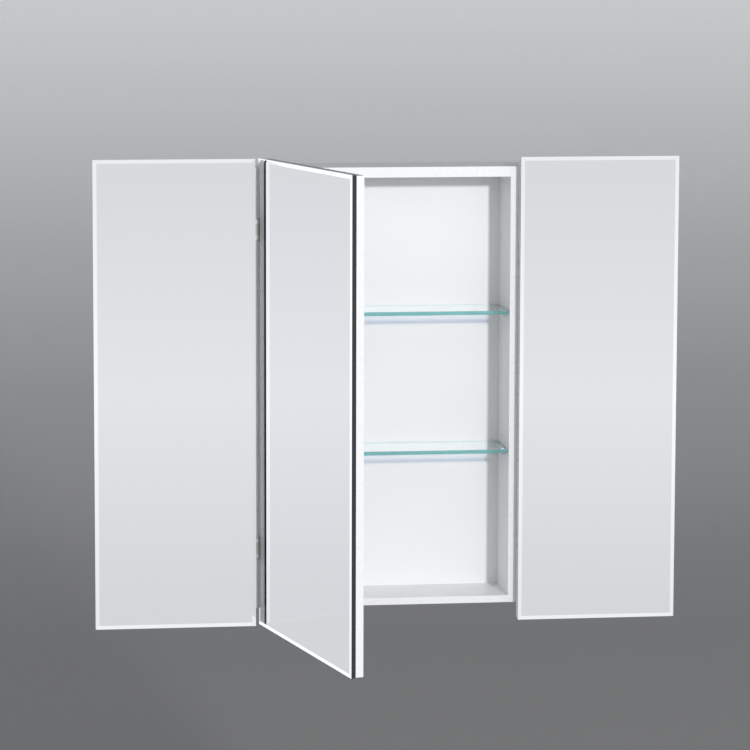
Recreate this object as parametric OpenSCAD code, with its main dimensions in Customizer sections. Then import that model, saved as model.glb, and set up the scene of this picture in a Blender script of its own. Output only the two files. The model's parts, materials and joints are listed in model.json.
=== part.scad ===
// Three-door mirrored wall cabinet, millimetres.
// The wall is the plane y = 0 and the doors face -Y. The origin is the centre of
// the four wall screws, +X runs along the width and +Z is up.

/* [Overall size] */
// Width over the three doors
overall_w = 914; // [800:1:1100]
// Height of the doors
overall_h = 730; // [600:1:900]
// Width of each side door
side_door_w = 250; // [200:1:300]
// Gap between neighbouring doors
door_gap = 8; // [6:0.5:12]
// Angle at which the centre door stands open
centre_open = 76; // [0:1:100]

/* [Body] */
// Depth of the body from the wall to its front edges
body_d = 112; // [90:1:160]
// How far the doors reach past the body at each side
side_overhang = 25; // [20:1:32]
// How far the doors reach past the body at the top
top_overhang = 16; // [8:1:24]
// How far the doors reach past the body at the bottom
bottom_overhang = 24; // [8:1:30]
// Thickness of the top, the sides and the partitions
panel_t = 16; // [13:0.5:20]
// Thickness of the bottom panel
bottom_t = 11; // [9:0.5:18]
// Thickness of the back panel
back_t = 4; // [3:0.5:6]
// Thickness of the two rails behind the back panel
rail_t = 9; // [7.5:0.5:12]
// Height of each rail
rail_h = 70; // [58:1:90]

/* [Doors] */
// Thickness of the mirror glass
glass_t = 5; // [4:0.2:6]
// Width of the bevel around each mirror
bevel_w = 6; // [5:0.5:20]
// Drop of the bevel at the mirror's edge
bevel_drop = 1; // [0.5:0.1:2.4]
// Thickness of the dark backing between mirror and board
backing_t = 3; // [2:0.1:4]
// Thickness of the white door board
board_t = 12; // [12:0.5:18]
// Space between the closed doors and the body
door_rest_gap = 3; // [2.6:0.1:4]

/* [Shelves] */
// Thickness of the glass shelves
shelf_t = 6; // [4:0.5:8]
// Height of the lower shelves above the bottom panel
lower_shelf_h = 226; // [150:1:240]
// Distance from the lower shelves up to the upper ones
shelf_pitch = 220; // [150:1:240]

/* [Fixings] */
// Distance between the wall screws along the width
wall_hole_pitch = 610; // [480:1:700]
// Radius of the wall screw holes and of the side screw holes
mount_hole_r = 3; // [2:0.1:4]
// Radius of the hinge pins
pin_r = 1.5; // [1.25:0.05:1.8]

/* [Hidden] */
$fn = 48;
eps = 0.01;

// Clearances
pin_clear = 0.05;
screw_clear = 0.05;
knuckle_gap = 0.3;
notch_clear = 1;

// Body
body_w = overall_w - 2 * side_overhang;
body_h = overall_h - top_overhang - bottom_overhang;
body_top = body_h / 2;
body_bottom = -body_h / 2;
side_in_x = body_w / 2 - panel_t;
side_mid_x = body_w / 2 - panel_t / 2;
floor_z = body_bottom + bottom_t;
ceiling_z = body_top - panel_t;
back_front_y = -rail_t - back_t;
partition_x = overall_w / 2 - side_door_w - door_gap / 2;

// Doors, closed
centre_door_w = overall_w - 2 * side_door_w - 2 * door_gap;
door_t = glass_t + backing_t + board_t;
door_front_y = -body_d - door_rest_gap - door_t;
door_bottom = body_bottom - bottom_overhang;
backing_inset = 1;
board_inset = 1;
board_hinge_inset = 2.5;

// Hinges: the axis stands inside the door's thickness, near its edge
knuckle_r = pin_r + 1.5;
hinge_edge = 9;
hinge_setback = glass_t + backing_t + 2;
axis_y = door_front_y + hinge_setback;
door_back = door_t - hinge_setback;
side_axis_x = overall_w / 2 - hinge_edge;
centre_axis_x = -centre_door_w / 2 + hinge_edge;
hinge_z = body_h / 2 - 95;
knuckle_l = 15.4;
leaf_h = 40;
leaf_l = 28;
leaf_t = 1.5;
arm_t = 2;
bracket_t = 1.5;
bracket_h = 36;
pin_head_r = pin_r + 0.9;
pin_head_t = 1.2;
web_x = arm_t / 2 + 0.5;
notch_h = leaf_h + 2 * (pin_head_t + notch_clear);
notch_x = knuckle_r + notch_clear;

// Screws: shank radius, head radius, head height, length
hinge_screw = [1.5, 2.8, 1.3, 15];
leaf_screw = [1.3, 2.5, 1.2, 9];
carcass_screw = [2, 4, 2, 42];
rail_screw = [1.5, 3, 1.5, 40];
back_screw = [1.5, 3, 1.5, 20];
bracket_screw_z = 12;
leaf_screw_x = [11, 22];
carcass_screw_y = [back_front_y - 25, -body_d + 25];
rail_screw_dz = 20;
back_screw_z = [-200, 0, 200];

// Wall and side holes
wall_hole_z = body_h / 2 - 55;
side_hole_z = body_h / 2 - 155;
side_hole_y = -body_d / 2 - 4;

// Shelves and the pins under them
shelf_side_gap = 1.5;
shelf_back_gap = 2;
shelf_setback = 7;
shelf_back_y = back_front_y - shelf_back_gap;
shelf_front_y = -body_d + shelf_setback;
shelf_z = [floor_z + lower_shelf_h, floor_z + lower_shelf_h + shelf_pitch];
shelf_pin_r = 2.5;
shelf_pin_l = 6;
shelf_pin_hole_l = 6.5;
shelf_head_r = 4;
shelf_head_l = 8;
shelf_flat = 1.5;
shelf_pin_y = [shelf_back_y - 20, shelf_front_y + 20];

// Bumpers
bumper_r = 4;
bumper_t = door_rest_gap - 0.2;
bumper_edge = 22;

// ---------- helpers ----------

// A box from its lowest corner to its highest corner
module block(low, high) {
    translate(low) cube(high - low);
}

// A countersunk screw along +Z: its head's face lies at z = 0 and it points down
module screw(s, clear = 0) {
    translate([0, 0, -s[3]]) cylinder(r = s[0] + clear, h = s[3] - eps);
    translate([0, 0, -s[2]])
        cylinder(r1 = s[0] + clear, r2 = s[1] + clear, h = s[2] + clear);
}

// Places its children at the left and, mirrored, at the right
module both_sides() {
    children();
    mirror([1, 0, 0]) children();
}

// ---------- fasteners, used as solids and as the holes that take them ----------

// Screws through the sides into the top and bottom, and into the partitions
module carcass_screw_set(clear = 0) {
    both_sides()
        for (y = carcass_screw_y) {
            for (z = [body_top - panel_t / 2, body_bottom + bottom_t / 2])
                translate([-body_w / 2, y, z])
                    rotate([0, -90, 0]) screw(carcass_screw, clear);
            translate([-partition_x, y, body_top]) screw(carcass_screw, clear);
            translate([-partition_x, y, body_bottom])
                rotate([180, 0, 0]) screw(carcass_screw, clear);
        }
}

// Screws through the sides into the ends of the wall rails
module rail_screw_set(clear = 0) {
    both_sides()
        for (mid = [ceiling_z - rail_h / 2, floor_z + rail_h / 2], dz = [-1, 1])
            translate([-body_w / 2, -rail_t / 2, mid + dz * rail_screw_dz])
                rotate([0, -90, 0]) screw(rail_screw, clear);
}

// Screws from behind through the back panel into the partitions
module back_screw_set(clear = 0) {
    both_sides()
        for (z = back_screw_z)
            translate([-partition_x, -rail_t, z])
                rotate([-90, 0, 0]) screw(back_screw, clear);
}

// Two screws that hold one hinge bracket to the front edge at panel_x
module bracket_screw_pair(panel_x, clear = 0) {
    for (z = [-hinge_z, hinge_z], dz = [-1, 1])
        translate([panel_x, -body_d - bracket_t, z + dz * bracket_screw_z])
            rotate([90, 0, 0]) screw(hinge_screw, clear);
}

module bracket_screw_set(clear = 0) {
    bracket_screw_pair(-side_mid_x, clear);
    bracket_screw_pair(-partition_x, clear);
    bracket_screw_pair(side_mid_x, clear);
}

// Four pins in the wall at wall_x; they point along dir into that wall
module shelf_pin_row(wall_x, dir, hole = false) {
    for (z = shelf_z, y = shelf_pin_y)
        translate([wall_x, y, z - shelf_flat])
            rotate([0, dir * 90, 0])
                if (hole) {
                    translate([0, 0, -eps])
                        cylinder(r = shelf_pin_r + pin_clear,
                                 h = shelf_pin_hole_l + eps);
                } else {
                    cylinder(r = shelf_pin_r, h = shelf_pin_l);
                    shelf_pin_head(dir);
                }
}

// Round head of a shelf pin with a flat on top for the shelf
module shelf_pin_head(dir) {
    intersection() {
        translate([0, 0, -shelf_head_l])
            cylinder(r = shelf_head_r, h = shelf_head_l);
        translate([dir * (shelf_flat / 2 + shelf_head_r / 2) - shelf_flat * dir, 0, 0])
            cube([shelf_flat + shelf_head_r, 3 * shelf_head_r, 3 * shelf_head_l],
                 center = true);
    }
}

module shelf_pin_set(hole = false) {
    both_sides() {
        shelf_pin_row(-side_in_x, -1, hole);
        shelf_pin_row(-partition_x - panel_t / 2, 1, hole);
        shelf_pin_row(-partition_x + panel_t / 2, -1, hole);
    }
}

// Holes for the screws that fasten the cabinet to the wall
module wall_holes() {
    for (x = [-1, 1] * wall_hole_pitch / 2, z = [-1, 1] * wall_hole_z)
        translate([x, eps, z]) rotate([90, 0, 0])
            cylinder(r = mount_hole_r, h = rail_t + back_t + 2 * eps);
}

// ---------- body ----------

module top_panel() {
    color("white") difference() {
        block([-side_in_x, -body_d, ceiling_z], [side_in_x, 0, body_top]);
        carcass_screw_set(screw_clear);
    }
}

module bottom_panel() {
    color("white") difference() {
        block([-side_in_x, -body_d, body_bottom], [side_in_x, 0, floor_z]);
        carcass_screw_set(screw_clear);
    }
}

module left_side_panel() {
    color("white") difference() {
        block([-body_w / 2, -body_d, body_bottom], [-side_in_x, 0, body_top]);
        carcass_screw_set(screw_clear);
        rail_screw_set(screw_clear);
        bracket_screw_set(screw_clear);
        shelf_pin_set(true);
        for (z = [-side_hole_z, side_hole_z])
            translate([-body_w / 2 - eps, side_hole_y, z]) rotate([0, 90, 0])
                cylinder(r = mount_hole_r, h = panel_t + 2 * eps);
    }
}

module right_side_panel() {
    mirror([1, 0, 0]) left_side_panel();
}

module left_partition() {
    color("white") difference() {
        block([-partition_x - panel_t / 2, -body_d, floor_z],
              [-partition_x + panel_t / 2, back_front_y, ceiling_z]);
        carcass_screw_set(screw_clear);
        back_screw_set(screw_clear);
        bracket_screw_set(screw_clear);
        shelf_pin_set(true);
    }
}

module right_partition() {
    color("white") difference() {
        block([partition_x - panel_t / 2, -body_d, floor_z],
              [partition_x + panel_t / 2, back_front_y, ceiling_z]);
        carcass_screw_set(screw_clear);
        back_screw_set(screw_clear);
        shelf_pin_set(true);
    }
}

module back_panel() {
    color("white") difference() {
        block([-side_in_x, back_front_y, floor_z],
              [side_in_x, -rail_t, ceiling_z]);
        back_screw_set(screw_clear);
        wall_holes();
    }
}

module wall_rail(low_z) {
    color("burlywood") difference() {
        block([-side_in_x, -rail_t, low_z], [side_in_x, 0, low_z + rail_h]);
        rail_screw_set(screw_clear);
        wall_holes();
    }
}

module upper_wall_rail() {
    wall_rail(ceiling_z - rail_h);
}

module lower_wall_rail() {
    wall_rail(floor_z);
}

module carcass_screws() {
    color("silver") carcass_screw_set();
}

module rail_screws() {
    color("silver") rail_screw_set();
}

module back_panel_screws() {
    color("silver") back_screw_set();
}

// ---------- shelves ----------

module shelf_pins() {
    color("silver") shelf_pin_set();
}

// A glass shelf between two walls, on the level with this number
module shelf(left_wall, right_wall, level) {
    color([0.62, 0.84, 0.8, 0.5])
        block([left_wall + shelf_side_gap, shelf_front_y, shelf_z[level]],
              [right_wall - shelf_side_gap, shelf_back_y, shelf_z[level] + shelf_t]);
}

module left_shelf(level) {
    shelf(-side_in_x, -partition_x - panel_t / 2, level);
}

module centre_shelf(level) {
    shelf(-partition_x + panel_t / 2, partition_x - panel_t / 2, level);
}

module right_shelf(level) {
    shelf(partition_x + panel_t / 2, side_in_x, level);
}

module left_lower_shelf() { left_shelf(0); }
module left_upper_shelf() { left_shelf(1); }
module centre_lower_shelf() { centre_shelf(0); }
module centre_upper_shelf() { centre_shelf(1); }
module right_lower_shelf() { right_shelf(0); }
module right_upper_shelf() { right_shelf(1); }

// ---------- hinge brackets on the body ----------

// Brackets of a door hinged at its left edge: axis at axis_x, panel at panel_x
module brackets(axis_x, panel_x) {
    low_x = min(axis_x - arm_t / 2, panel_x - panel_t / 2 + 1);
    high_x = max(axis_x + arm_t / 2, panel_x + panel_t / 2 - 1);
    color("silver") difference() {
        for (z = [-hinge_z, hinge_z]) translate([0, 0, z]) {
            block([low_x, -body_d - bracket_t, -bracket_h / 2],
                  [high_x, -body_d, bracket_h / 2]);
            block([axis_x - arm_t / 2, axis_y, -knuckle_l / 2],
                  [axis_x + arm_t / 2, -body_d - bracket_t + eps, knuckle_l / 2]);
            translate([axis_x, axis_y, -knuckle_l / 2])
                cylinder(r = knuckle_r, h = knuckle_l);
        }
        bracket_screw_pair(panel_x, screw_clear);
        for (z = [-hinge_z, hinge_z]) translate([axis_x, axis_y, z - leaf_h / 2])
            cylinder(r = pin_r + pin_clear, h = leaf_h);
    }
}

module left_hinge_brackets() {
    brackets(-side_axis_x, -side_mid_x);
}

module centre_hinge_brackets() {
    brackets(centre_axis_x, -partition_x);
}

module right_hinge_brackets() {
    mirror([1, 0, 0]) left_hinge_brackets();
}

module hinge_bracket_screws() {
    color("silver") bracket_screw_set();
}

// ---------- doors ----------
// Each piece is drawn for a closed door with its hinge axis at x = 0, y = 0:
// x runs to the free edge, -y to the front.

// Outline of a bevelled plate of this length: along it, and front to back
function bevel_outline(length) = [
    [0, glass_t], [0, bevel_drop], [bevel_w, 0],
    [length - bevel_w, 0], [length, bevel_drop], [length, glass_t]
];

module mirror_glass(w) {
    color("gainsboro") translate([-hinge_edge, -hinge_setback, door_bottom])
        intersection() {
            linear_extrude(overall_h) polygon(bevel_outline(w));
            translate([w, 0, 0]) rotate([0, -90, 0])
                linear_extrude(w) polygon(bevel_outline(overall_h));
        }
}

// Room for the hinges in the backing and the board
module hinge_notches() {
    for (z = [-hinge_z, hinge_z])
        block([-2 * hinge_edge, -2 * hinge_setback, z - notch_h / 2],
              [notch_x, 2 * door_back, z + notch_h / 2]);
}

// One layer of a door, smaller than the mirror by inset, at the hinge by hinge_inset
module door_layer(w, inset, hinge_inset, front_y, thickness) {
    block([hinge_inset - hinge_edge, front_y, door_bottom + inset],
          [w - hinge_edge - inset, front_y + thickness,
           door_bottom + overall_h - inset]);
}

module mirror_backing(w) {
    color("dimgray") difference() {
        door_layer(w, backing_inset, backing_inset, glass_t - hinge_setback,
                   backing_t);
        hinge_notches();
    }
}

module leaf_screw_set(clear = 0) {
    for (z = [-hinge_z, hinge_z], x = leaf_screw_x)
        translate([x, door_back, z]) rotate([-90, 0, 0]) screw(leaf_screw, clear);
}

module door_board(w) {
    color("white") difference() {
        door_layer(w, board_inset, board_hinge_inset,
                   glass_t + backing_t - hinge_setback, board_t);
        hinge_notches();
        for (z = [-hinge_z, hinge_z])
            block([0, door_back - leaf_t, z - leaf_h / 2],
                  [leaf_l, door_back + 1, z + leaf_h / 2]);
        leaf_screw_set(screw_clear);
    }
}

module hinge_leaf_pair() {
    color("silver") difference() {
        for (z = [-hinge_z, hinge_z]) translate([0, 0, z]) {
            block([web_x, door_back - leaf_t, -leaf_h / 2],
                  [leaf_l, door_back, leaf_h / 2]);
            for (low = [-leaf_h / 2, knuckle_l / 2 + knuckle_gap]) {
                high = low + (leaf_h - knuckle_l) / 2 - knuckle_gap;
                block([web_x, 0, low], [knuckle_r, door_back - leaf_t + eps, high]);
                translate([0, 0, low]) cylinder(r = knuckle_r, h = high - low);
            }
        }
        leaf_screw_set(screw_clear);
        for (z = [-hinge_z, hinge_z]) translate([0, 0, z - leaf_h])
            cylinder(r = pin_r + pin_clear, h = 2 * leaf_h);
    }
}

module hinge_pin_pair() {
    color("silver")
        for (z = [-hinge_z, hinge_z]) translate([0, 0, z - leaf_h / 2]) {
            cylinder(r = pin_r, h = leaf_h + eps);
            translate([0, 0, leaf_h]) cylinder(r = pin_head_r, h = pin_head_t);
        }
}

module leaf_screw_group() {
    color("silver") leaf_screw_set();
}

// Two bumpers near the free edge; closed, they rest on the top and the bottom
module bumper_pair(w) {
    color("whitesmoke")
        for (z = [body_top - panel_t / 2, body_bottom + bottom_t / 2])
            translate([w - hinge_edge - bumper_edge, door_back, z])
                rotate([-90, 0, 0]) cylinder(r = bumper_r, h = bumper_t);
}

module left_door() {
    translate([-side_axis_x, axis_y, 0]) children();
}

module centre_door() {
    translate([centre_axis_x, axis_y, 0]) rotate([0, 0, -centre_open]) children();
}

module right_door() {
    mirror([1, 0, 0]) left_door() children();
}

module left_mirror() { left_door() mirror_glass(side_door_w); }
module left_mirror_backing() { left_door() mirror_backing(side_door_w); }
module left_door_board() { left_door() door_board(side_door_w); }
module left_hinge_leaves() { left_door() hinge_leaf_pair(); }
module left_hinge_pins() { left_door() hinge_pin_pair(); }
module left_leaf_screws() { left_door() leaf_screw_group(); }
module left_bumpers() { left_door() bumper_pair(side_door_w); }

module centre_mirror() { centre_door() mirror_glass(centre_door_w); }
module centre_mirror_backing() { centre_door() mirror_backing(centre_door_w); }
module centre_door_board() { centre_door() door_board(centre_door_w); }
module centre_hinge_leaves() { centre_door() hinge_leaf_pair(); }
module centre_hinge_pins() { centre_door() hinge_pin_pair(); }
module centre_leaf_screws() { centre_door() leaf_screw_group(); }
module centre_bumpers() { centre_door() bumper_pair(centre_door_w); }

module right_mirror() { right_door() mirror_glass(side_door_w); }
module right_mirror_backing() { right_door() mirror_backing(side_door_w); }
module right_door_board() { right_door() door_board(side_door_w); }
module right_hinge_leaves() { right_door() hinge_leaf_pair(); }
module right_hinge_pins() { right_door() hinge_pin_pair(); }
module right_leaf_screws() { right_door() leaf_screw_group(); }
module right_bumpers() { right_door() bumper_pair(side_door_w); }

top_panel();
bottom_panel();
left_side_panel();
right_side_panel();
left_partition();
right_partition();
back_panel();
upper_wall_rail();
lower_wall_rail();
carcass_screws();
rail_screws();
back_panel_screws();
shelf_pins();
left_lower_shelf();
left_upper_shelf();
centre_lower_shelf();
centre_upper_shelf();
right_lower_shelf();
right_upper_shelf();
left_hinge_brackets();
centre_hinge_brackets();
right_hinge_brackets();
hinge_bracket_screws();
left_mirror();
left_mirror_backing();
left_door_board();
left_hinge_leaves();
left_hinge_pins();
left_leaf_screws();
left_bumpers();
centre_mirror();
centre_mirror_backing();
centre_door_board();
centre_hinge_leaves();
centre_hinge_pins();
centre_leaf_screws();
centre_bumpers();
right_mirror();
right_mirror_backing();
right_door_board();
right_hinge_leaves();
right_hinge_pins();
right_leaf_screws();
right_bumpers();
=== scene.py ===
# %% [markdown]
# # A mirrored wall cabinet with three doors
# This lesson dresses a wall cabinet from a bathroom: a white board body, three doors that
# carry bevelled mirrors, and clear glass shelves. The side doors are shut and the centre
# door stands open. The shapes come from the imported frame, which holds every board, hinge
# and screw at its true size. We add the materials, softened edges, light and a camera, and
# leave every size alone.

# %% Load the fixed frame
import json
import math

import bmesh
import bpy
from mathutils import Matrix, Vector

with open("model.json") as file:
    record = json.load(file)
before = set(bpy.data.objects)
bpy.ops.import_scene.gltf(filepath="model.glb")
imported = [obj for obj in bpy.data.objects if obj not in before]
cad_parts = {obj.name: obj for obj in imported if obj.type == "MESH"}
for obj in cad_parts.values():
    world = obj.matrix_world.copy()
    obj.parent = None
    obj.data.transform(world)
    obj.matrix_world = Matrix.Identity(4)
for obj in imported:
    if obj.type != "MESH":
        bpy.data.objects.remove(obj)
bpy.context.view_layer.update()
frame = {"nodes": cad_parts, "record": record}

nodes = frame["nodes"]

# %% [markdown]
# ## Where to stand
# A cabinet is pictured from a little way off with a long lens, so that its upright edges
# stay nearly upright. A camera can be placed by hand, by a target it tracks, or by angles.
# Angles are chosen here, because two of them, a turn to the right and a dip, say all there
# is to say about somebody who stands to the left of the cabinet and looks down at it. A
# small shift slides the picture on the sensor and takes out some of the leaning.

# %% Place the camera
SENSOR_WIDTH = 36.0
LENS_LENGTH = 148.5
SHIFT = 0.10
SEE_AS_FAR_AS = 200.0
STAND = Vector((-0.666, -4.856, 0.670))
camera_data = bpy.data.cameras.new("cabinet_camera")
camera_data.sensor_width = SENSOR_WIDTH
camera_data.lens = LENS_LENGTH
camera_data.shift_x = SHIFT
camera_data.shift_y = -SHIFT
camera_data.clip_end = SEE_AS_FAR_AS
camera = bpy.data.objects.new("cabinet_camera", camera_data)
camera.location = STAND
turn_right = math.radians(6.38)
dip = math.radians(6.34)
camera.rotation_euler = (math.pi / 2 - dip, 0.0, -turn_right)
bpy.context.scene.collection.objects.link(camera)
bpy.context.scene.camera = camera
print("camera", round(STAND.length, 2), "m from the middle of the wall screws")

# %% [markdown]
# ## Colours as they are measured
# White boards and mirrors need their tones kept as they are, without a film-like curve
# that greys the whites. Blender's Standard view shows a colour of 0.8 as 0.8, so it is
# used while we judge whites against each other.

# %% Show colours plainly
bpy.context.scene.view_settings.view_transform = "Standard"
print("view:", bpy.context.scene.view_settings.view_transform)

# %% [markdown]
# ## Two helpers for shader nodes
# Every finish below, and the light of the room, is a small tree of shader nodes. Typing
# each node and link out makes a script hard to read, so helpers add one node at a time and
# return what the next node takes. The trees stay visible in the cells that build them.
# These two are needed everywhere; the others come where they are first used.

# %% Helpers that add a node
def add_node(tree, kind, values=(), **settings):
    """One node with its settings and the values of its inputs, by name or number."""
    made = tree.nodes.new(kind)
    for key, value in settings.items():
        setattr(made, key, value)
    for key, value in dict(values).items():
        if isinstance(value, bpy.types.NodeSocket):
            tree.links.new(value, made.inputs[key])
        else:
            made.inputs[key].default_value = value
    return made


MIX_FIRST, MIX_SECOND, MIX_RESULT = 6, 7, 2


def two_colours(tree, amount, first, second):
    """A colour between two others; each is three numbers or another node's colour."""
    mix = add_node(tree, "ShaderNodeMix", {0: amount}, data_type="RGBA")
    for place, colour in ((MIX_FIRST, first), (MIX_SECOND, second)):
        if isinstance(colour, bpy.types.NodeSocket):
            tree.links.new(colour, mix.inputs[place])
        else:
            mix.inputs[place].default_value = (*colour, 1.0)
    return mix.outputs[MIX_RESULT]


print("helpers ready: a node, and a mix of two colours")

# %% [markdown]
# ## The room the mirrors see
# A mirror has no colour of its own: it shows the room in front of it. A studio puts large
# pale cards there. Real card objects would do, but they would stand in the way when we
# walk round the cabinet. The world is used instead: its brightness depends on the
# direction only. One ramp runs from the left to the right of the room, the other from the
# floor to the ceiling, and the two are multiplied. The half in front of the cabinet has
# its own pair of ramps, and so has the half behind it. The bright stretches are what the
# bevels catch, since a bevel looks about 19 degrees past the flat of the glass.

# %% Light the world by direction
def ramp(tree, value, stops):
    """A smooth run of greys; stops are pairs of a place from 0 to 1 and a brightness."""
    made = tree.nodes.new("ShaderNodeValToRGB")
    tree.links.new(value, made.inputs[0])
    greys = made.color_ramp.elements
    while len(greys) < len(stops):
        greys.new(0.5)
    for grey, (place, level) in zip(greys, stops):
        grey.position = place
        grey.color = (level, level, level, 1.0)
    return made.outputs[0]


def times(tree, first, second):
    """Two colours multiplied."""
    inputs = {0: first, 1: second}
    return add_node(tree, "ShaderNodeVectorMath", inputs, operation="MULTIPLY").outputs[0]


room = bpy.data.worlds.new("studio_room")
room.use_nodes = True
bpy.context.scene.world = room
room_tree = room.node_tree
direction = add_node(room_tree, "ShaderNodeTexCoord").outputs["Generated"]
sideways, backwards, upwards = add_node(room_tree, "ShaderNodeSeparateXYZ", {0: direction}).outputs
side_share = add_node(room_tree, "ShaderNodeMapRange", {"Value": sideways, "From Min": -1.0})
height_share = add_node(room_tree, "ShaderNodeMapRange", {"Value": upwards, "From Min": -1.0})

FRONT_SIDES = [(0.00, 0.50), (0.15, 0.60), (0.19, 1.03), (0.25, 1.03), (0.28, 0.60),
               (0.33, 0.60), (0.345, 1.24), (0.43, 1.22), (0.48, 1.20), (0.515, 1.0), (0.62, 1.0),
               (0.68, 1.25), (0.80, 1.25), (1.00, 0.70)]
FRONT_HEIGHTS = [(0.00, 0.60), (0.22, 0.94), (0.245, 0.92), (0.265, 0.71), (0.385, 0.69),
                 (0.398, 0.70), (0.43, 0.81), (0.467, 0.72), (0.50, 0.76), (0.57, 0.90),
                 (0.66, 0.88), (0.75, 0.75), (0.85, 0.40), (1.00, 0.12)]
BACK_SIDES = [(0.00, 0.80), (0.07, 1.45), (0.14, 1.40), (0.19, 1.0), (0.30, 1.0),
              (0.45, 0.85), (1.00, 0.70)]
BACK_HEIGHTS = [(0.00, 0.50), (0.30, 0.90), (0.33, 1.10), (0.365, 1.05), (0.38, 0.69),
                (0.40, 0.69), (0.43, 0.78), (0.47, 0.76), (0.50, 0.80), (0.515, 1.05),
                (0.545, 1.05), (0.60, 0.40), (0.70, 0.22), (1.00, 0.12)]
front_room = times(room_tree, ramp(room_tree, side_share.outputs[0], FRONT_SIDES),
                   ramp(room_tree, height_share.outputs[0], FRONT_HEIGHTS))
back_room = times(room_tree, ramp(room_tree, side_share.outputs[0], BACK_SIDES),
                  ramp(room_tree, height_share.outputs[0], BACK_HEIGHTS))
HALVES_MEET = 0.2
behind = add_node(
    room_tree,
    "ShaderNodeMapRange",
    {"Value": backwards, "From Min": -HALVES_MEET, "From Max": HALVES_MEET},
).outputs[0]
whole_room = two_colours(room_tree, behind, front_room, back_room)
room_tint = times(room_tree, whole_room, (0.98, 0.995, 1.02))
room_tree.links.new(room_tint, room_tree.nodes["Background"].inputs["Color"])
print("world made from", len(FRONT_SIDES) + len(BACK_SIDES), "side stops and",
      len(FRONT_HEIGHTS) + len(BACK_HEIGHTS), "height stops")

# %% [markdown]
# ## Floor and sweep
# The cabinet hangs at eye height, well above a plain floor. A flat floor would end in a
# hard horizon, so a studio rolls paper down a wall and out over the floor in one curve.
# The sweep is one strip of quads that follows such a profile: flat, a quarter circle, then
# upright. It is built with bmesh, because a profile and a width are all it needs. The
# mirrors look past it, so that they show the room only.

# %% Build the sweep
FLOOR_BELOW = 1.45
SWEEP_HALF_WIDTH = 16.0
SWEEP_FRONT = -14.0
CURVE_START = 6.0
CURVE_RADIUS = 4.0
SWEEP_TOP = 5.0
CURVE_STEPS = 24


def sweep_profile():
    """Points (y, z) from the front of the floor to the top of the wall."""
    points = [(SWEEP_FRONT, 0.0), (CURVE_START, 0.0)]
    for step in range(1, CURVE_STEPS + 1):
        angle = math.pi / 2 * step / CURVE_STEPS
        points.append((CURVE_START + CURVE_RADIUS * math.sin(angle),
                       CURVE_RADIUS * (1 - math.cos(angle))))
    points.append((CURVE_START + CURVE_RADIUS, CURVE_RADIUS + SWEEP_TOP))
    return points


sweep_mesh = bpy.data.meshes.new("paper_sweep")
strip = bmesh.new()
rows = [
    [strip.verts.new((x, y, z - FLOOR_BELOW)) for x in (-SWEEP_HALF_WIDTH, SWEEP_HALF_WIDTH)]
    for y, z in sweep_profile()
]
for near, far in zip(rows, rows[1:]):
    strip.faces.new((near[0], near[1], far[1], far[0])).smooth = True
strip.to_mesh(sweep_mesh)
strip.free()
sweep = bpy.data.objects.new("paper_sweep", sweep_mesh)
bpy.context.scene.collection.objects.link(sweep)
sweep.visible_glossy = False
print("sweep has", len(sweep_mesh.polygons), "faces")

# %% [markdown]
# ## Paper for the sweep
# Sweep paper is matt and even. Its far wall gets less light than its floor, so light and
# shade are painted into the paper's colour: mid grey behind the cabinet, where white boards
# must stand out, and paler up the wall. A picture could be laid on it, but a ramp is lighter and
# has no size.
# The ramp follows the run of the paper, which is its distance back plus its height. Height
# counts two and a half times, so that the shade changes faster on the wall.

# %% Helpers for a finish
def new_finish(name):
    """A material with a Principled shader; returns the material and that shader."""
    finish = bpy.data.materials.new(name)
    finish.use_nodes = True
    return finish, finish.node_tree.nodes["Principled BSDF"]


def math_step(tree, operation, first, second=0.0):
    """The result of one sum on two values."""
    return add_node(tree, "ShaderNodeMath", {0: first, 1: second}, operation=operation).outputs[0]


def own_place(tree, scale=(1.0, 1.0, 1.0)):
    """The point on the piece in metres, so that a pattern moves with it."""
    place = add_node(tree, "ShaderNodeTexCoord").outputs["Object"]
    return add_node(tree, "ShaderNodeMapping", {"Vector": place, "Scale": scale}).outputs[0]


print("helpers ready: a finish, a sum, and a place on the piece")

# %% Shade the sweep
HEIGHT_COUNTS = 2.5
PAPER_LOW, PAPER_HIGH = -8.0, 12.0
PAPER_PAINTED_SHADE_STOPS = [(0.0, 0.6), (0.35, 0.4), (0.45, 0.38), (0.65, 0.5), (0.75, 0.65), (0.92, 1.0)]
paper, paper_shader = new_finish("sweep_paper")
paper_tree = paper.node_tree
paper_place = own_place(paper_tree)
paper_parts = add_node(paper_tree, "ShaderNodeSeparateXYZ", {0: paper_place})
paper_height = math_step(paper_tree, "MULTIPLY", paper_parts.outputs[2], HEIGHT_COUNTS)
paper_run = math_step(paper_tree, "ADD", paper_parts.outputs[1], paper_height)
run_share = add_node(
    paper_tree,
    "ShaderNodeMapRange",
    {"Value": paper_run, "From Min": PAPER_LOW, "From Max": PAPER_HIGH},
).outputs[0]
# The ramp paints light and shade into the paper's colour: darker behind the cabinet and paler up
# the wall.
paper_tree.links.new(ramp(paper_tree, run_share, PAPER_PAINTED_SHADE_STOPS), paper_shader.inputs["Base Color"])
paper_shader.inputs["Roughness"].default_value = 0.9
paper_shader.inputs["Specular IOR Level"].default_value = 0.1
sweep_mesh.materials.append(paper)
print("paper shaded over", PAPER_HIGH - PAPER_LOW, "m of run")

# %% [markdown]
# ## Key light
# One soft lamp stands in front, to the right and above the top of the cabinet, so
# that the walls which face left stay in shade. Its height sets how far down the back panel
# the shadow of each shelf falls, and its size sets how soft the shadow's edge is. An area
# lamp is used, as it gives both. Its place is told by two angles and a distance from the
# middle of the body.

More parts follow.
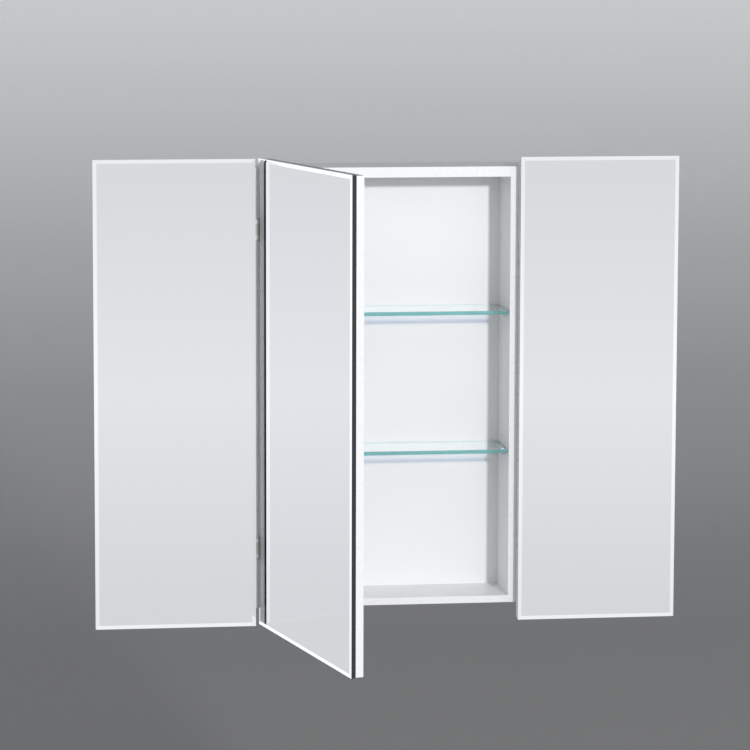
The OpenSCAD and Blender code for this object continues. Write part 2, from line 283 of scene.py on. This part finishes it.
# %% Hang the key lamp
def soft_lamp(name, power, size, aim, turn, rise, distance):
    """A round area lamp that shines at aim from this turn to the right and this rise."""
    lamp_data = bpy.data.lights.new(name, "AREA")
    lamp_data.shape = "DISK"
    lamp_data.energy = power
    lamp_data.size = size
    lamp = bpy.data.objects.new(name, lamp_data)
    turn, rise = math.radians(turn), math.radians(rise)
    out = Vector((math.sin(turn) * math.cos(rise), -math.cos(turn) * math.cos(rise),
                  math.sin(rise)))
    lamp.location = Vector(aim) + out * distance
    lamp.rotation_euler = out.to_track_quat("Z", "Y").to_euler()
    bpy.context.scene.collection.objects.link(lamp)
    return lamp


KEY_POWER = 145.0
KEY_SIZE = 0.30
KEY_DISTANCE = 5.6
BODY_MIDDLE = (0.0, -0.1, 0.0)
key_lamp = soft_lamp("key_lamp", KEY_POWER, KEY_SIZE, BODY_MIDDLE, turn=12.0, rise=15.5,
                     distance=KEY_DISTANCE)
print("key lamp at", [round(v, 2) for v in key_lamp.location])

# %% [markdown]
# ## White faced board
# The body and the door boards are pressed board with a white satin facing on the wide
# sides and a band of white plastic glued round the edges. The facing has a faint
# orange-peel relief and is never one exact white. The band is smoother and a little
# cooler. Both could be painted by hand; here one finish tells them apart by comparing the
# way a surface points with the way the board's wide side points.

# %% Helpers for patterns
def stretch(tree, value, low, high):
    """A value from 0 to 1 moved to run from low to high."""
    inputs = {"Value": value, "To Min": low, "To Max": high}
    return add_node(tree, "ShaderNodeMapRange", inputs).outputs[0]


def noise(tree, place, size, detail=3.0):
    """Soft random spots, each about this many metres across."""
    inputs = {"Vector": place, "Scale": 1.0 / size, "Detail": detail}
    return add_node(tree, "ShaderNodeTexNoise", inputs).outputs["Fac"]


def bumps(tree, shader, height, depth):
    """Fine relief of this depth in metres, added to any relief the finish has."""
    inputs = {"Height": height, "Strength": 1.0, "Distance": depth}
    relief = add_node(tree, "ShaderNodeBump", inputs)
    for link in shader.inputs["Normal"].links:
        tree.links.new(link.from_socket, relief.inputs["Normal"])
    tree.links.new(relief.outputs[0], shader.inputs["Normal"])


print("helpers ready: stretched values, noise and relief")

# %% Helpers that tell a sheet's faces from its edges
def facing_of(piece):
    """The way a sheet looks: away from its widest flat. A mirror's bevels make that its back."""
    widest = max(piece.data.polygons, key=lambda face: face.area)
    return -widest.normal


def along_facing(tree, facing):
    """1 where the surface looks the way the sheet looks, 0 on its edges, -1 on its back."""
    normal = add_node(tree, "ShaderNodeTexCoord").outputs["Normal"]
    return add_node(
        tree, "ShaderNodeVectorMath", {0: normal, 1: facing}, operation="DOT_PRODUCT"
    ).outputs["Value"]


def steepness(tree):
    """0 on upright surfaces, 1 on level ones, whether they look up or down."""
    normal = add_node(tree, "ShaderNodeTexCoord").outputs["Normal"]
    upright = add_node(tree, "ShaderNodeSeparateXYZ", {0: normal}).outputs[2]
    return math_step(tree, "ABSOLUTE", upright)


HALF_WAY = 0.5
print("a face counts as wide when it looks the sheet's way by more than", HALF_WAY)

# %% Make the board finish
SPOT_SIZE = 0.16
PEEL_SIZE = 0.002
PEEL_DEPTH = 0.000006


def board_finish(name, facing):
    """White satin facing on the wide sides and a smoother band on the edges."""
    finish, shader = new_finish(name)
    tree = finish.node_tree
    place = own_place(tree)
    wide = math_step(tree, "ABSOLUTE", along_facing(tree, facing))
    is_wide = math_step(tree, "GREATER_THAN", wide, HALF_WAY)
    spots = noise(tree, place, SPOT_SIZE, 2.0)
    facing_white = two_colours(tree, spots, (0.865, 0.868, 0.878), (0.90, 0.90, 0.905))
    band_white = two_colours(tree, spots, (0.89, 0.895, 0.905), (0.92, 0.922, 0.925))
    tree.links.new(
        two_colours(tree, is_wide, band_white, facing_white), shader.inputs["Base Color"]
    )
    satin = stretch(tree, noise(tree, place, 0.02), 0.34, 0.46)
    band_gloss = stretch(tree, noise(tree, place, 0.008), 0.24, 0.32)
    gloss = add_node(tree, "ShaderNodeMix", {0: is_wide, 2: band_gloss, 3: satin})
    tree.links.new(gloss.outputs[0], shader.inputs["Roughness"])
    bumps(tree, shader, noise(tree, place, PEEL_SIZE, 2.0), PEEL_DEPTH)
    return finish


print("board facing has a relief of", round(PEEL_DEPTH * 1e6), "thousandths of a millimetre")

# %% [markdown]
# ## Hardboard back
# The thin back panel is hardboard: lacquered white towards the shelves and raw brown
# towards the wall. The raw side is pressed on a wire screen, which leaves a fine mesh of
# dents. Two crossed sets of waves make that mesh, and short fibres of noise colour it.

# %% Make the back panel finish
BACK_PANEL_LOOKS = Vector((0.0, -1.0, 0.0))
SCREEN_WAVES = 120.0
DENT_DEPTH = 0.0002


def back_panel_finish():
    """White lacquer towards the shelves, raw screen-pressed brown towards the wall."""
    finish = board_finish("back_hardboard", BACK_PANEL_LOOKS)
    tree = finish.node_tree
    shader = tree.nodes["Principled BSDF"]
    white = shader.inputs["Base Color"].links[0].from_socket
    place = own_place(tree)
    raw = math_step(tree, "LESS_THAN", along_facing(tree, BACK_PANEL_LOOKS), -HALF_WAY)
    fibres = noise(tree, own_place(tree, (1.0, 1.0, 0.3)), 0.0015, 4.0)
    brown = two_colours(tree, fibres, (0.20, 0.115, 0.062), (0.34, 0.215, 0.125))
    tree.links.new(two_colours(tree, raw, white, brown), shader.inputs["Base Color"])
    wires = {"Vector": place, "Scale": SCREEN_WAVES}
    screen = [
        add_node(tree, "ShaderNodeTexWave", wires, bands_direction=way).outputs["Fac"]
        for way in ("X", "Z")
    ]
    dents = math_step(tree, "MULTIPLY", math_step(tree, "MULTIPLY", *screen), raw)
    bumps(tree, shader, dents, DENT_DEPTH)
    return finish


finishes = {"back_panel": back_panel_finish()}
print("hardboard back made, dents", DENT_DEPTH * 1000, "mm deep")

# %% [markdown]
# ## Painted shade on the ends of the door boards
# The upper and lower ends of a door board are coloured nearly black as painted shade.
# They stand for ends that lie in shade, and no tape is there. The shade could be left to
# the lamp, but here it is a colour laid over the board finish. It is on the ends only, and
# those are picked out by how steeply the surface points up or down.

# %% Make the door board finish
SHADED_END_STEEPNESS = 0.7


def door_board_shaded_ends_finish(name, facing):
    """The board finish with painted shade, nearly black, on its upper and lower ends."""
    finish = board_finish(name, facing)
    tree = finish.node_tree
    shader = tree.nodes["Principled BSDF"]
    white = shader.inputs["Base Color"].links[0].from_socket
    shaded_end = math_step(tree, "GREATER_THAN", steepness(tree), SHADED_END_STEEPNESS)
    shade_mottle = noise(tree, own_place(tree), 0.005, 3.0)
    # Painted shade: the ends are coloured nearly black, with a faint random mottle, to stand for
    # ends that lie in shade.
    painted_end_shade = two_colours(tree, shade_mottle, (0.035, 0.037, 0.040), (0.06, 0.062, 0.066))
    tree.links.new(two_colours(tree, shaded_end, white, painted_end_shade), shader.inputs["Base Color"])
    return finish


print("door board finish ready")

# %% [markdown]
# ## Rails of plain softwood
# The rails behind the back panel take the wall screws, and nobody sees them once the
# cabinet hangs. They are planed softwood. Grain is noise stretched along the rail, which
# bends a set of bands: rings cut lengthwise.

# %% Make the rail finish
GRAIN_STRETCH = (0.06, 1.0, 1.0)
RINGS = {"Scale": 60.0, "Distortion": 6.0, "Detail": 3.0}
GRAIN_DEPTH = 0.0001


def rail_finish():
    """Planed softwood with its grain along the rail."""
    finish, shader = new_finish("rail_board")
    tree = finish.node_tree
    place = own_place(tree, GRAIN_STRETCH)
    bend = noise(tree, place, 0.03, 4.0)
    rings = add_node(
        tree, "ShaderNodeTexWave", {"Vector": place, **RINGS}, bands_direction="Z"
    ).outputs["Fac"]
    grain = math_step(tree, "MULTIPLY", rings, bend)
    wood = two_colours(tree, grain, (0.62, 0.44, 0.26), (0.40, 0.24, 0.12))
    tree.links.new(wood, shader.inputs["Base Color"])
    tree.links.new(stretch(tree, rings, 0.5, 0.68), shader.inputs["Roughness"])
    bumps(tree, shader, grain, GRAIN_DEPTH)
    return finish


finishes["rail_board"] = rail_finish()
print("rail wood made, grain drawn out", round(1 / GRAIN_STRETCH[0]), "times")

# %% [markdown]
# ## Mirrors
# A mirror is a sheet of glass with silver on its back. Modelling glass over silver needs
# many bounces and gives the same picture as a bright metal, so the face is a metal with
# almost no roughness. The ground rim is bare glass and looks dark, because there we look
# along the sheet. One finish serves both: it compares the way a face points with the way
# the mirror points, and a faint haze keeps the face from being perfect.

# %% Make the mirror finish
RIM_GLOSS = 0.25


def mirror_finish(name, facing):
    """Silvered on the face and its bevels, dark bare glass on the rim."""
    finish, shader = new_finish(name)
    tree = finish.node_tree
    silvered = math_step(tree, "GREATER_THAN", along_facing(tree, facing), HALF_WAY)
    haze = stretch(tree, noise(tree, own_place(tree), 0.11, 2.0), 0.002, 0.012)
    rim = math_step(tree, "SUBTRACT", 1.0, silvered)
    rim_gloss = math_step(tree, "MULTIPLY", rim, RIM_GLOSS)
    tree.links.new(
        two_colours(tree, silvered, (0.010, 0.016, 0.016), (0.965, 0.972, 0.978)),
        shader.inputs["Base Color"],
    )
    tree.links.new(silvered, shader.inputs["Metallic"])
    tree.links.new(math_step(tree, "ADD", haze, rim_gloss), shader.inputs["Roughness"])
    return finish


for side in ("left", "centre", "right"):
    mirror = nodes[side + "_mirror"]
    facing = facing_of(mirror)
    finishes[mirror.name] = mirror_finish(mirror.name + "_silver", facing)
    print(side, "mirror looks along", [round(v, 2) for v in facing])

# %% [markdown]
# ## Dark backing
# Between glass and board lies a dark adhesive foam that cushions the glass. It shows only
# as a thin line round an open door. Foam is matt, nearly black and finely pitted, so a
# fine cell pattern is enough.

# %% Make the backing finish
FOAM_CELLS = 1400.0
FOAM_DEPTH = 0.0001


def backing_finish():
    """Matt, nearly black foam with fine cells."""
    finish, shader = new_finish("dark_backing")
    tree = finish.node_tree
    place = own_place(tree)
    cells = add_node(
        tree, "ShaderNodeTexVoronoi", {"Vector": place, "Scale": FOAM_CELLS}
    ).outputs["Distance"]
    foam = two_colours(tree, cells, (0.022, 0.024, 0.026), (0.04, 0.042, 0.045))
    tree.links.new(foam, shader.inputs["Base Color"])
    shader.inputs["Specular IOR Level"].default_value = 0.3
    tree.links.new(stretch(tree, cells, 0.6, 0.8), shader.inputs["Roughness"])
    bumps(tree, shader, cells, FOAM_DEPTH)
    return finish


finishes["dark_backing"] = backing_finish()
print("backing made with", FOAM_CELLS / 1000, "cells to the millimetre")

# %% [markdown]
# ## Glass shelves
# Shelf glass is clear through its faces and green at its edges, where light travels the
# long way through it. True glass with a coloured volume needs many bounces and casts a
# shadow as dark as a board's. So the finish is split by direction: the two wide faces are
# thin clear glass that lets the lamp through, and the narrow edges are tinted and only
# half clear, so that they show as green lines and cast a soft line of shadow.

# %% Make the shelf finish
FACE_STEEPNESS = 0.8
GLASS_IOR = 1.5


def shelf_finish():
    """Clear faces and green edges, both letting the lamp through in part."""
    finish, shader = new_finish("shelf_glass")
    tree = finish.node_tree
    face = math_step(tree, "GREATER_THAN", steepness(tree), FACE_STEEPNESS)
    depth = noise(tree, own_place(tree), 0.06, 2.0)
    edge_green = two_colours(tree, depth, (0.19, 0.48, 0.47), (0.26, 0.58, 0.57))
    clear = (0.93, 0.975, 0.965)
    tree.links.new(two_colours(tree, face, edge_green, clear), shader.inputs["Base Color"])
    tree.links.new(stretch(tree, face, 0.45, 1.0), shader.inputs["Transmission Weight"])
    tree.links.new(stretch(tree, face, 0.22, 0.0), shader.inputs["Roughness"])
    shader.inputs["IOR"].default_value = GLASS_IOR
    dims = two_colours(tree, face, (0.30, 0.42, 0.62), (0.86, 0.90, 0.96))
    lets_lamp_in = add_node(tree, "ShaderNodeBsdfTransparent", {"Color": dims})
    shadow_ray = add_node(tree, "ShaderNodeLightPath").outputs["Is Shadow Ray"]
    blend = add_node(tree, "ShaderNodeMixShader", {0: shadow_ray})
    tree.links.new(shader.outputs[0], blend.inputs[1])
    tree.links.new(lets_lamp_in.outputs[0], blend.inputs[2])
    tree.links.new(blend.outputs[0], tree.nodes["Material Output"].inputs["Surface"])
    return finish


finishes["shelf_glass"] = shelf_finish()
print("shelf glass made, bending light by", GLASS_IOR)

# %% [markdown]
# ## Plated steel
# Hinges, pins and screws are plated steel: the hinges brushed nickel, the pins turned and
# brighter, the screws zinc with a cool, cloudy look. One function makes all three from
# two colours, a gloss and the draw of the streaks, because only those differ.

# %% Make the steel finishes
STREAK_SIZE = 0.0008
STREAK_DEPTH = 0.00001
CLOUD_SIZE = 0.006
BRUSHED = (1.0, 1.0, 0.05)
EVEN = (1.0, 1.0, 1.0)


def steel_finish(name, dark, light, gloss, streak):
    """Plated steel, cloudy between two colours and streaked between two glosses."""
    finish, shader = new_finish(name)
    tree = finish.node_tree
    place = own_place(tree, streak)
    streaks = noise(tree, place, STREAK_SIZE, 3.0)
    clouds = noise(tree, own_place(tree), CLOUD_SIZE, 2.0)
    tree.links.new(two_colours(tree, clouds, dark, light), shader.inputs["Base Color"])
    shader.inputs["Metallic"].default_value = 1.0
    tree.links.new(stretch(tree, streaks, gloss[0], gloss[1]), shader.inputs["Roughness"])
    bumps(tree, shader, streaks, STREAK_DEPTH)
    return finish


finishes["hinge_steel"] = steel_finish(
    "hinge_steel", (0.40, 0.39, 0.375), (0.50, 0.49, 0.475), (0.26, 0.40), BRUSHED
)
finishes["pin_steel"] = steel_finish(
    "pin_steel", (0.62, 0.62, 0.62), (0.72, 0.72, 0.72), (0.12, 0.24), EVEN
)
finishes["screw_steel"] = steel_finish(
    "screw_steel", (0.50, 0.53, 0.56), (0.68, 0.69, 0.70), (0.25, 0.42), EVEN
)
print("three steels made, with streaks", STREAK_SIZE * 1000, "mm apart")

# %% [markdown]
# ## Bumpers
# Small milky buffers keep the doors from knocking on the body. They are soft plastic that
# lets some light in. Glass would look too hard, so light is scattered a few millimetres
# deep under a satin skin.

# %% Make the bumper finish
def bumper_finish():
    """Soft milky plastic that lets a little light in."""
    finish, shader = new_finish("bumper_rubber")
    tree = finish.node_tree
    milky = noise(tree, own_place(tree), 0.004, 2.0)
    tree.links.new(
        two_colours(tree, milky, (0.74, 0.77, 0.78), (0.84, 0.86, 0.87)),
        shader.inputs["Base Color"],
    )
    shader.inputs["Subsurface Weight"].default_value = 0.4
    shader.inputs["Subsurface Scale"].default_value = 0.003
    tree.links.new(stretch(tree, milky, 0.3, 0.45), shader.inputs["Roughness"])
    return finish


finishes["bumper_rubber"] = bumper_finish()
print("bumpers made")

# %% [markdown]
# ## Give each piece its finish
# The record says which finish each piece is made of, so one loop dresses them all. Boards
# and mirrors each get their own, as each looks its own way. A finish of one piece is kept
# under the piece's name, and a shared finish under the name that the record uses.

# %% Dress the pieces
def dress(piece, finish):
    """Puts one finish on a piece and takes off what it came with."""
    piece.data.materials.clear()
    piece.data.materials.append(finish)


slot_of = {row["node"]: row["material_slot"] for row in frame["record"]["subparts"]}
for name, piece in nodes.items():
    if slot_of[name] == "white_board" and name not in finishes:
        make_board = door_board_shaded_ends_finish if name.endswith("_door_board") else board_finish
        finishes[name] = make_board(name + "_finish", facing_of(piece))
    dress(piece, finishes.get(name) or finishes[slot_of[name]])
print("dressed", len(nodes), "pieces in", len(finishes), "finishes")

# %% [markdown]
# ## Softened edges
# Nothing real ends in a perfect corner. Board edges are eased by about half a millimetre,
# the edges of shelf glass are rubbed down, and moulded bumpers are round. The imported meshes
# must stay as they are, so the easing is done by modifiers: Weld joins the split corners,
# Decimate in its planar mode clears the hair-thin triangles between screw holes, Bevel
# rounds what is left sharp, and Weighted Normal shades the wide faces as true flats.
# Mirrors keep their crisp, ground corners.

# %% Ease the edges
JOIN_WITHIN = 0.00001
SAME_PLANE = math.radians(0.5)
SHARP_FROM = math.radians(50)
EDGE_STEPS = 2
FLATS_COUNT_MOST = 100


def ease(piece, width):
    """Rounds the sharp edges of a piece by this width in metres."""
    weld = piece.modifiers.new("join_corners", "WELD")
    weld.merge_threshold = JOIN_WITHIN
    clear = piece.modifiers.new("clear_slivers", "DECIMATE")
    clear.decimate_type = "DISSOLVE"
    clear.angle_limit = SAME_PLANE
    bevel = piece.modifiers.new("ease_edges", "BEVEL")
    bevel.width = width
    bevel.segments = EDGE_STEPS
    bevel.limit_method = "ANGLE"
    bevel.angle_limit = SHARP_FROM
    flats = piece.modifiers.new("keep_flats", "WEIGHTED_NORMAL")
    flats.weight = FLATS_COUNT_MOST


EASING = {"white_board": 0.0006, "rail_board": 0.0008, "shelf_glass": 0.0006,
          "hinge_steel": 0.0002, "bumper_rubber": 0.0008}
eased = [name for name in nodes if slot_of[name] in EASING]
for name in eased:
    ease(nodes[name], EASING[slot_of[name]])
print("eased", len(eased), "pieces")
